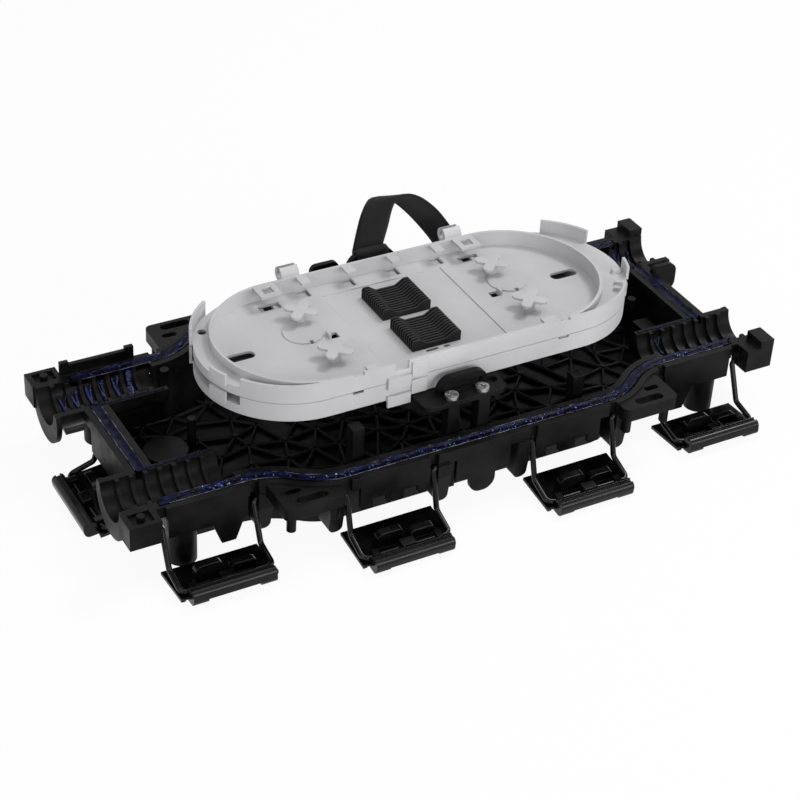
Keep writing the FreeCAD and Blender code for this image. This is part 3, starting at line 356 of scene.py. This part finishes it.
def masticMaterial(name, look):
    material, tree, shader, coords = newMaterial(name + "Mastic")
    vein = noiseNode(tree, coords, look["veinScale"], 4.0)
    fleck = noiseNode(tree, coords, look["speckScale"], 2.0)
    blue = mixNode(tree, rangeNode(tree, vein, 0.45, 0.68), look["dark"], look["blue"])
    specks = rangeNode(tree, fleck, look["speckFrom"], look["speckFrom"] + 0.06)
    tree.links.new(mixNode(tree, specks, blue, look["speck"]), shader.inputs["Base Color"])
    tree.links.new(rangeNode(tree, vein, 0.0, 1.0, look["smooth"], look["rough"]), shader.inputs["Roughness"])
    shader.inputs["Specular IOR Level"].default_value = look["gloss"]
    finishNormal(tree, shader, fleck, distance=0.0006, strength=0.3, edge=0.0)
    return material


mastics = {name: masticMaterial(name, look) for name, look in masticLooks.items()}

# woven strap: threads follow the strap's own UV map; the gaps between threads are painted darker, a painted shade in
# the weave's hollows
strapLook = {"thread": (0.01, 0.01, 0.0103), "gap": (0.002, 0.002, 0.0021), "pile": (0.016, 0.016, 0.0165),
             "pileAmount": 0.6, "pileScale": 600.0, "across": 26.0, "along": 150.0, "rough": 0.85, "gloss": 0.2,
             "sheen": 0.1}


def strapMaterial(look):
    material, tree, shader, coords = newMaterial("strapWeave")
    uv = tree.nodes.new("ShaderNodeUVMap")
    uv.uv_map = "weave"
    split = tree.nodes.new("ShaderNodeSeparateXYZ")
    tree.links.new(uv.outputs["UV"], split.inputs[0])

    def threads(axis, count):
        turn = mathNode(tree, "MULTIPLY", split.outputs[axis], count * 2 * math.pi)
        return mathNode(tree, "SINE", turn, 0.0)

    weave = mathNode(tree, "MULTIPLY", threads("X", look["across"]), threads("Y", look["along"]))
    lift = rangeNode(tree, weave, -1.0, 1.0)
    # painted shade: the colour falls to the dark gap colour where the weave's bump is low
    fuzz = placeGroup(tree, dustGroup, {"Vector": coords, "Color": mixNode(tree, lift, look["gap"], look["thread"]),
                                        "Dust": look["pile"], "Amount": look["pileAmount"],
                                        "Scale": look["pileScale"]})
    tree.links.new(fuzz["Color"], shader.inputs["Base Color"])
    shader.inputs["Roughness"].default_value = look["rough"]
    shader.inputs["Specular IOR Level"].default_value = look["gloss"]
    shader.inputs["Sheen Weight"].default_value = look["sheen"]
    finishNormal(tree, shader, lift, distance=0.0004, strength=0.8, edge=0.0)
    return material


strapWeave = strapMaterial(strapLook)
print("materials built")


def dress(node, material):
    mesh = nodes[node].data
    mesh.materials.clear()
    mesh.materials.append(material)


slotLooks = {"shell_plastic": plastics["shellPlastic"], "lever_plastic": plastics["leverPlastic"],
             "tray_plastic": plastics["trayPlastic"], "holder_plastic": plastics["holderPlastic"],
             "wire": metals["blackWire"], "screw_steel": metals["screwSteel"], "mastic": mastics["groove"],
             "strap_fabric": strapWeave}
for row in frame["record"]["subparts"]:
    dress(row["node"], slotLooks[row["material_slot"]])
print("packed nodes dressed")


# a Geometry Nodes tree with named inputs; the maker fills it and returns the last geometry socket
def geometryTree(name, inputs, maker):
    tree = bpy.data.node_groups.new(name, "GeometryNodeTree")
    tree.interface.new_socket("Geometry", in_out="INPUT", socket_type="NodeSocketGeometry")
    for title, kind, value in inputs:
        socket = tree.interface.new_socket(title, in_out="INPUT", socket_type="NodeSocket" + kind)
        if value is not None:
            socket.default_value = value
    tree.interface.new_socket("Geometry", in_out="OUTPUT", socket_type="NodeSocketGeometry")
    given = tree.nodes.new("NodeGroupInput")
    result = tree.nodes.new("NodeGroupOutput")
    made = maker(tree, given.outputs)
    realize = tree.nodes.new("GeometryNodeRealizeInstances")
    coat = tree.nodes.new("GeometryNodeSetMaterial")
    tree.links.new(made, realize.inputs[0])
    tree.links.new(realize.outputs[0], coat.inputs["Geometry"])
    tree.links.new(given.outputs["Material"], coat.inputs["Material"])
    tree.links.new(coat.outputs[0], result.inputs[0])
    return tree


# runs the tree on a guide mesh and keeps the outcome as a plain mesh
def growMesh(name, guide, tree, values, body):
    carrier = linkObject(name + "Guide", guide)
    modifier = carrier.modifiers.new("grow", "NODES")
    modifier.node_group = tree
    for item in tree.interface.items_tree:
        if item.item_type == "SOCKET" and item.in_out == "INPUT" and item.name in values:
            modifier[item.identifier] = values[item.name]
    view = bpy.context.evaluated_depsgraph_get()
    mesh = bpy.data.meshes.new_from_object(carrier.evaluated_get(view))
    carrier.modifiers.remove(modifier)
    bpy.data.objects.remove(carrier)
    mesh.name = name
    piece = linkObject(name, mesh)
    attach(piece, body)
    return piece


# sealing line of the shell in metres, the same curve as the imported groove
sealLine = {"midHalf": 0.0800, "portHalf": 0.0610, "waistStart": 0.080, "waistEnd": 0.132, "portMiddle": 0.155,
            "endHalf": 0.1765, "overrun": 0.0025, "top": 0.0425, "bedDepth": 0.0014, "arcSteps": 12}


def sealingSide(line):
    run = line["waistEnd"] - line["waistStart"]
    turn = 2 * math.atan2(line["midHalf"] - line["portHalf"], run)
    bend = run / 2 / math.sin(turn)
    points = [(0.0, line["midHalf"]), (line["waistStart"] * 0.5, line["midHalf"])]
    for step in range(line["arcSteps"] + 1):
        angle = turn * step / line["arcSteps"]
        points.append((line["waistStart"] + bend * math.sin(angle), line["midHalf"] - bend * (1 - math.cos(angle))))
    for step in range(line["arcSteps"] - 1, -1, -1):
        angle = turn * step / line["arcSteps"]
        points.append((line["waistEnd"] - bend * math.sin(angle), line["portHalf"] + bend * (1 - math.cos(angle))))
    points += [(line["portMiddle"], line["portHalf"]), (line["endHalf"] + line["overrun"], line["portHalf"])]
    return points


# sealing bead: a flat strip with raised edges, thick or thin along its guide, pushed in and out by noise
beadLook = {"Radius": 0.0027, "Lump Scale": 150.0, "Lump Depth": 0.0014, "Fine Scale": 520.0, "Fine Depth": 0.0007,
            "Step": 0.0012, "Flat": 0.35, "Dish": 0.0016}


def beadNodes(tree, given):
    toCurve = tree.nodes.new("GeometryNodeMeshToCurve")
    resample = tree.nodes.new("GeometryNodeResampleCurve")
    resample.mode = "LENGTH"
    ring = tree.nodes.new("GeometryNodeCurvePrimitiveCircle")
    ring.inputs["Resolution"].default_value = 20
    shape = tree.nodes.new("GeometryNodeSetPosition")
    split = tree.nodes.new("ShaderNodeSeparateXYZ")
    shift = tree.nodes.new("ShaderNodeCombineXYZ")
    where = tree.nodes.new("GeometryNodeInputPosition")
    sweep = tree.nodes.new("GeometryNodeCurveToMesh")
    sweep.inputs["Fill Caps"].default_value = True
    tree.links.new(given["Geometry"], toCurve.inputs["Mesh"])
    tree.links.new(toCurve.outputs["Curve"], resample.inputs["Curve"])
    tree.links.new(given["Step"], resample.inputs["Length"])
    tree.links.new(given["Radius"], ring.inputs["Radius"])
    tree.links.new(where.outputs[0], split.inputs[0])
    across = mathNode(tree, "DIVIDE", split.outputs["X"], given["Radius"])
    edge = mathNode(tree, "MULTIPLY", mathNode(tree, "MULTIPLY", across, across), given["Dish"])
    squeeze = mathNode(tree, "MULTIPLY", split.outputs["Y"], mathNode(tree, "SUBTRACT", given["Flat"], 1.0))
    tree.links.new(mathNode(tree, "SUBTRACT", squeeze, edge), shift.inputs["Y"])
    tree.links.new(ring.outputs["Curve"], shape.inputs["Geometry"])
    tree.links.new(shift.outputs[0], shape.inputs["Offset"])
    tree.links.new(resample.outputs["Curve"], sweep.inputs["Curve"])
    tree.links.new(shape.outputs["Geometry"], sweep.inputs["Profile Curve"])
    place = tree.nodes.new("GeometryNodeSetPosition")
    facing = tree.nodes.new("GeometryNodeInputNormal")
    thick = tree.nodes.new("GeometryNodeInputNamedAttribute")
    thick.inputs["Name"].default_value = "thick"
    tree.links.new(sweep.outputs["Mesh"], place.inputs["Geometry"])

    def lump(scaleName, depthName):
        cloud = noiseNode(tree, where.outputs[0], given[scaleName], 2.0)
        return mathNode(tree, "MULTIPLY", mathNode(tree, "SUBTRACT", cloud, 0.5), given[depthName])

    uneven = mathNode(tree, "ADD", lump("Lump Scale", "Lump Depth"), lump("Fine Scale", "Fine Depth"))
    swell = mathNode(tree, "MULTIPLY", mathNode(tree, "SUBTRACT", thick.outputs["Attribute"], 1.0), given["Radius"])
    push = tree.nodes.new("ShaderNodeVectorMath")
    push.operation = "SCALE"
    tree.links.new(facing.outputs["Normal"], push.inputs[0])
    tree.links.new(mathNode(tree, "ADD", uneven, swell), push.inputs["Scale"])
    tree.links.new(push.outputs[0], place.inputs["Offset"])
    smooth = tree.nodes.new("GeometryNodeSetShadeSmooth")
    tree.links.new(place.outputs["Geometry"], smooth.inputs["Geometry"])
    return smooth.outputs["Geometry"]


beadTree = geometryTree("sealingBead", [(key, "Float", value) for key, value in beadLook.items()]
                        + [("Material", "Material", None)], beadNodes)


# a guide of open lines; each point is (x, y, z, thickness)
def lineMesh(name, runs):
    points = [point for run in runs for point in run]
    edges = []
    first = 0
    for run in runs:
        edges += [(first + index, first + index + 1) for index in range(len(run) - 1)]
        first += len(run)
    mesh = meshFrom(name, [point[:3] for point in points], edges, [])
    thick = mesh.attributes.new("thick", "FLOAT", "POINT")
    thick.data.foreach_set("value", [point[3] for point in points])
    return mesh


def buildBead(line, look):
    height = line["top"] - line["bedDepth"]
    half = sealingSide(line)
    side = [(-x, y) for x, y in reversed(half[1:])] + half
    runs = [[(x, sign * y, height, 1.0) for x, y in side] for sign in (-1, 1)]
    for sign in (-1, 1):
        runs.append([(sign * line["endHalf"], y * 0.001, height, 1.0) for y in range(-32, 33, 8)])
    piece = growMesh("sealingBead", lineMesh("sealingBead", runs), beadTree,
                     {**look, "Material": mastics["groove"]}, "base")
    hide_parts("sealing_mastic")


buildBead(sealLine, beadLook)


# distance of the sealing line from the middle plane at a place along the shell
def sideAt(line, x):
    side = sealingSide(line)
    for (x0, y0), (x1, y1) in zip(side, side[1:]):
        if x0 <= abs(x) <= x1:
            return y0 + (y1 - y0) * (abs(x) - x0) / (x1 - x0)
    return 0.0


# glossy wet threads with pale specks painted on as glints, where the mastic meets the sides of the groove, and crumbs
# of it on the rim:
# rows of (first x, last x, side, reach to each side, count)
trimLook = {"seed": 11, "step": 0.003, "spread": 0.0028, "threadRadius": 0.0003, "threadSize": (0.2, 1.2),
            "leftEnd": 1.5, "rightFrom": 0.04, "rightSize": 0.6, "crumbRadius": 0.0004, "crumbLength": 0.0012,
            "lift": 0.0005,
            "crumbs": ((-0.136, 0.055, -1, 0.0020, 80), (0.055, 0.165, -1, 0.0018, 22),
                       (-0.155, -0.139, -1, 0.0028, 36), (-0.170, -0.100, 1, 0.0016, 9),
                       (0.140, 0.150, -1, 0.0022, 9))}


def buildTrim(line, look):
    draw = random.Random(look["seed"])
    top = line["top"]
    threads = []
    count = int(line["endHalf"] / look["step"])
    for shift in (-look["spread"], look["spread"]):
        for sign in (-1, 1):
            run = []
            for index in range(-count, count + 1):
                x = index * look["step"]
                share = look["rightSize"] if x > look["rightFrom"] else 1.0
                run.append((x, sign * sideAt(line, x) + shift, top, share * draw.uniform(*look["threadSize"])))
            threads.append(run)
            share = look["leftEnd"] if sign < 0 else 1.0
            endX = sign * line["endHalf"] + shift
            threads.append([(endX, y * 0.001, top, share * draw.uniform(*look["threadSize"]))
                            for y in range(-31, 32, 3)])
    growMesh("masticThreads", lineMesh("masticThreads", threads), beadTree,
             {**beadLook, "Radius": look["threadRadius"], "Lump Depth": 0.0002, "Fine Depth": 0.0002, "Flat": 1.0,
              "Dish": 0.0, "Material": mastics["wetPaintedGlint"]}, "base")
    crumbs = []
    for first, last, sign, reach, number in look["crumbs"]:
        for _ in range(number):
            x = draw.uniform(first, last)
            y = sign * sideAt(line, x) + draw.uniform(-reach, reach)
            turn = draw.uniform(0, math.pi)
            half = look["crumbLength"] * draw.uniform(0.2, 0.5)
            size = draw.uniform(0.5, 1.2)
            crumbs.append([(x + half * math.cos(turn) * end, y + half * math.sin(turn) * end,
                            top + look["lift"] * draw.uniform(-0.6, 0.6), size) for end in (-1, 0, 1)])
    growMesh("masticCrumbs", lineMesh("masticCrumbs", crumbs), beadTree,
             {**beadLook, "Radius": look["crumbRadius"], "Step": 0.0005, "Lump Depth": 0.0003, "Fine Depth": 0.0005,
              "Flat": 0.8, "Dish": 0.0, "Material": mastics["crumb"]}, "base")


buildTrim(sealLine, trimLook)
print("sealing bead laid")

# mastic drawn up between the ribs of each port: rows of (gap, first angle, last angle, thickness), with a branch
# from the middle of the thin ones, and a wavy line of it on each wall inside the ports
smearLook = {
    "portY": 0.0467, "bore": 0.0131, "firstGap": 0.147, "pitch": 0.008, "steps": 10, "lean": 0.0016,
    "radius": 0.0011, "branchBelow": 2, "branchLean": 2.2, "branchSize": 0.8, "branchSteps": 4,
    "wallY": 0.0315, "wallFrom": 0.136, "wallTo": 0.175, "wallRadius": 0.0009, "wallSize": 0.8, "wallWave": 0.3,
    "wallTurn": 1.9, "seed": 5,
    "ports": {(-1, 1): ((0, 0, 78, 2.6), (1, -12, 72, 1.2), (2, -30, 70, 1.0), (3, -40, 68, 0.9), (4, -44, 64, 0.8),
                        (5, -30, 58, 0.7)),
              (1, 1): ((0, 10, 70, 1.1), (1, 0, 66, 0.9), (2, -20, 62, 1.0), (3, -30, 62, 1.1), (4, -20, 60, 1.0),
                       (5, 0, 56, 0.7)),
              (1, -1): ((0, 20, 70, 0.8),)},
}


def buildSmears(line, look):
    draw = random.Random(look["seed"])

    def onBore(sideX, sideY, x, degrees, thick):
        angle = math.radians(degrees)
        return (sideX * x, sideY * look["portY"] + look["bore"] * math.sin(angle),
                line["top"] - look["bore"] * math.cos(angle), thick * draw.uniform(0.7, 1.1))

    runs = []
    for (sideX, sideY), rows in look["ports"].items():
        for gap, first, last, thick in rows:
            lean = look["lean"] * draw.uniform(0.5, 1.0) * (1 if gap % 2 else -1)
            middle = look["firstGap"] + gap * look["pitch"]
            spots = []
            for step in range(look["steps"] + 1):
                share = step / look["steps"]
                spots.append((middle + lean * (2 * share - 1), first + (last - first) * share))
            runs.append([onBore(sideX, sideY, x, degrees, thick) for x, degrees in spots])
            if thick < look["branchBelow"]:
                fork, degrees = spots[len(spots) // 2]
                steps = look["branchSteps"]
                branch = [(fork - lean * look["branchLean"] * step / steps, degrees + (last - degrees) * step / steps)
                          for step in range(steps + 1)]
                runs.append([onBore(sideX, sideY, x, angle, look["branchSize"] * thick) for x, angle in branch])
    growMesh("portMastic", lineMesh("portMastic", runs), beadTree,
             {**beadLook, "Radius": look["radius"], "Lump Depth": 0.0016, "Flat": 1.0, "Dish": 0.0,
              "Material": mastics["port"]}, "base")
    runs = []
    for sideX in (-1, 1):
        for sideY in (-1, 1):
            run = []
            for step in range(look["steps"] + 1):
                x = look["wallFrom"] + (look["wallTo"] - look["wallFrom"]) * step / look["steps"]
                thick = look["wallSize"] + look["wallWave"] * math.sin(look["wallTurn"] * step + sideX)
                run.append((sideX * x, sideY * look["wallY"], line["top"], thick))
            runs.append(run)
    growMesh("wallMastic", lineMesh("wallMastic", runs), beadTree,
             {**beadLook, "Radius": look["wallRadius"], "Lump Depth": 0.0009, "Fine Depth": 0.0006,
              "Dish": 0.0003, "Material": mastics["groove"]}, "base")


buildSmears(sealLine, smearLook)
print("port mastic laid")

# strap: a sleeve round the loop's bar in metres, then an arch of paired edge points from the crown in millimetres
strapShape = {
    "left": -0.0025, "right": 0.0175, "thickness": 0.0014, "edgeShare": 0.55, "weaveLength": 0.1,
    "perStation": 8, "columns": 8, "crown": (0.0075, 0.0620, 0.0785),
    "sleeve": ((0.06475, 0.0755), (0.0647, 0.0786), (0.0638, 0.0794), (0.0620, 0.0796), (0.0602, 0.0794),
               (0.0593, 0.0786), (0.0592, 0.0760), (0.0593, 0.0738), (0.0602, 0.0731), (0.0620, 0.0729),
               (0.0642, 0.0731), (0.0658, 0.0741), (0.0663, 0.0765), (0.0660, 0.0795)),
    "arch": (((-8, 3, 15.5), (12, 3, 12)), ((-4, 5.5, 24), (14.5, 3.5, 22)), ((2.5, 10.5, 27.5), (18, 4.2, 27.5)),
             ((12, 14.5, 25), (22.5, 4.6, 29)), ((22, 16.5, 19), (28, 4.8, 28.3)), ((32, 17.5, 9), (36.5, 5, 23)),
             ((41.5, 18.5, -2.5), (47, 6, 12.5)), ((50.5, 20, -14.5), (56.5, 7, -0.5)),
             ((54, 20.6, -20), (61, 7.6, -7.5))),
}


def smoothPath(points, steps):
    path = []
    for index in range(len(points) - 1):
        before = points[max(index - 1, 0)]
        start, end = points[index], points[index + 1]
        after = points[min(index + 2, len(points) - 1)]
        for step in range(steps):
            t = step / steps
            path.append(0.5 * ((2 * start) + (end - before) * t + (2 * before - 5 * start + 4 * end - after) * t ** 2
                               + (3 * start - before - 3 * end + after) * t ** 3))
    return path + [points[-1]]


def buildStrap(shape):
    pairs = [((shape["left"], y, z), (shape["right"], y, z)) for y, z in shape["sleeve"]]
    crown = Vector(shape["crown"])
    pairs += [(crown + Vector(left) * 0.001, crown + Vector(right) * 0.001) for left, right in shape["arch"]]
    leftEdge = smoothPath([Vector(pair[0]) for pair in pairs], shape["perStation"])
    rightEdge = smoothPath([Vector(pair[1]) for pair in pairs], shape["perStation"])
    columns = shape["columns"]
    verts = []
    travel = [0.0]
    for index, (left, right) in enumerate(zip(leftEdge, rightEdge)):
        last = max(index - 1, 0)
        following = min(index + 1, len(leftEdge) - 1)
        heading = leftEdge[following] + rightEdge[following] - leftEdge[last] - rightEdge[last]
        normal = heading.cross(right - left).normalized()
        if index:
            travel.append(travel[-1] + ((left + right) - (leftEdge[index - 1] + rightEdge[index - 1])).length / 2)
        for face, order in ((1, range(columns + 1)), (-1, range(columns, -1, -1))):
            for column in order:
                thin = shape["edgeShare"] if column in (0, columns) else 1.0
                half = shape["thickness"] / 2 * thin
                verts.append(left.lerp(right, column / columns) + normal * (half * face))
    ring = 2 * (columns + 1)
    faces = []
    for row in range(len(leftEdge) - 1):
        for index in range(ring):
            nextIndex = (index + 1) % ring
            faces.append((row * ring + index, row * ring + nextIndex,
                          (row + 1) * ring + nextIndex, (row + 1) * ring + index))
    last = (len(leftEdge) - 1) * ring
    faces.append(tuple(reversed(range(ring))))
    faces.append(tuple(last + index for index in range(ring)))
    mesh = meshFrom("trayStrap", verts, [], faces)
    layer = mesh.uv_layers.new(name="weave")
    for loop in mesh.loops:
        row, index = divmod(loop.vertex_index, ring)
        column = index if index <= columns else ring - 1 - index
        layer.data[loop.index].uv = (column / columns, travel[row] / shape["weaveLength"])
    smoothFaces(mesh)
    mesh.materials.append(strapWeave)
    piece = linkObject("trayStrap", mesh)
    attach(piece, "base")
    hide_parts("tray_strap")


buildStrap(strapShape)
print("strap shaped")

# floor web: thin ribs between uneven knots on the bottom of the shell, with a small boss at some knots; ribs and
# bosses wear a lighter copy of the shell's plastic, a painted light on the web
webShape = {"floor": 0.008, "inset": 0.0135, "pitch": 0.019, "unevenness": 0.0040, "seed": 7, "bossEvery": 4,
            "missing": 0.06, "Rib Width": 0.0014, "Rib Height": 0.0026, "Boss Radius": 0.0017, "Boss Height": 0.0034}


def ribNodes(tree, given):
    toCurve = tree.nodes.new("GeometryNodeMeshToCurve")
    profile = tree.nodes.new("GeometryNodeCurvePrimitiveQuadrilateral")
    sweep = tree.nodes.new("GeometryNodeCurveToMesh")
    sweep.inputs["Fill Caps"].default_value = True
    tree.links.new(given["Geometry"], toCurve.inputs["Mesh"])
    tree.links.new(given["Rib Width"], profile.inputs["Width"])
    tree.links.new(given["Rib Height"], profile.inputs["Height"])
    tree.links.new(toCurve.outputs["Curve"], sweep.inputs["Curve"])
    tree.links.new(profile.outputs["Curve"], sweep.inputs["Profile Curve"])
    return sweep.outputs["Mesh"]


def bossNodes(tree, given):
    toPoints = tree.nodes.new("GeometryNodeMeshToPoints")
    boss = tree.nodes.new("GeometryNodeMeshCylinder")
    boss.inputs["Vertices"].default_value = 16
    spread = tree.nodes.new("GeometryNodeInstanceOnPoints")
    tree.links.new(given["Geometry"], toPoints.inputs["Mesh"])
    tree.links.new(given["Boss Radius"], boss.inputs["Radius"])
    tree.links.new(given["Boss Height"], boss.inputs["Depth"])
    tree.links.new(toPoints.outputs["Points"], spread.inputs["Points"])
    tree.links.new(boss.outputs["Mesh"], spread.inputs["Instance"])
    return spread.outputs["Instances"]


def webTree(name, keys, maker):
    inputs = [(key, "Float", webShape[key]) for key in keys] + [("Material", "Material", None)]
    return geometryTree(name, inputs, maker)


ribTree = webTree("floorRibs", ("Rib Width", "Rib Height"), ribNodes)
bossTree = webTree("floorBosses", ("Boss Radius", "Boss Height"), bossNodes)


def insideFloor(spot, line, inset):
    return abs(spot[0]) < line["endHalf"] - inset and abs(spot[1]) < sideAt(line, spot[0]) - inset


# moves the far end of a rib back to the foot of the wall
def trimmed(start, end, line, inset):
    kept = start
    steps = 12
    for step in range(1, steps + 1):
        spot = start.lerp(end, step / steps)
        if not insideFloor(spot, line, inset):
            return kept
        kept = spot
    return end


def buildWeb(line, shape):
    draw = random.Random(shape["seed"])
    rowGap = shape["pitch"] * math.sqrt(3) / 2
    rows = int(line["midHalf"] / rowGap) + 1
    columns = int(line["endHalf"] / shape["pitch"]) + 2
    knots = {}
    for row in range(-rows, rows + 1):
        for column in range(-columns, columns + 1):
            shift = Vector((draw.uniform(-1, 1), draw.uniform(-1, 1))) * shape["unevenness"]
            knots[column, row] = Vector(((column + 0.5 * (row % 2)) * shape["pitch"], row * rowGap)) + shift
    ribs = []
    bosses = []
    ribZ = shape["floor"] + shape["Rib Height"] / 2
    bossZ = shape["floor"] + shape["Boss Height"] / 2
    for (column, row), start in knots.items():
        if not insideFloor(start, line, shape["inset"]):
            continue
        if (column + 2 * row) % shape["bossEvery"] == 0:
            bosses.append((*start, bossZ))
        slant = row % 2
        ends = [(column + 1, row), (column + slant, row + 1), (column + slant - 1, row + 1),
                (column - 1, row), (column + slant, row - 1), (column + slant - 1, row - 1)]
        for index, key in enumerate(ends):
            end = knots.get(key)
            if end is None:
                continue
            inside = insideFloor(end, line, shape["inset"])
            if inside and index > 2:
                continue
            tip = end if inside else trimmed(start, end, line, shape["inset"])
            if (tip - start).length > shape["Rib Width"] and draw.random() > shape["missing"]:
                ribs.append([(*start, ribZ, 1.0), (*tip, ribZ, 1.0)])
    # painted light: the web is given the shell plastic's lighter copy
    black = plastics["paintedLitWebPlastic"]
    growMesh("floorWeb", lineMesh("floorWeb", ribs), ribTree,
             {"Rib Width": shape["Rib Width"], "Rib Height": shape["Rib Height"], "Material": black},
             "base")
    growMesh("floorBosses", meshFrom("floorBosses", bosses, [], []), bossTree,
             {"Boss Radius": shape["Boss Radius"], "Boss Height": shape["Boss Height"], "Material": black},
             "base")


buildWeb(sealLine, webShape)
print("floor web built")
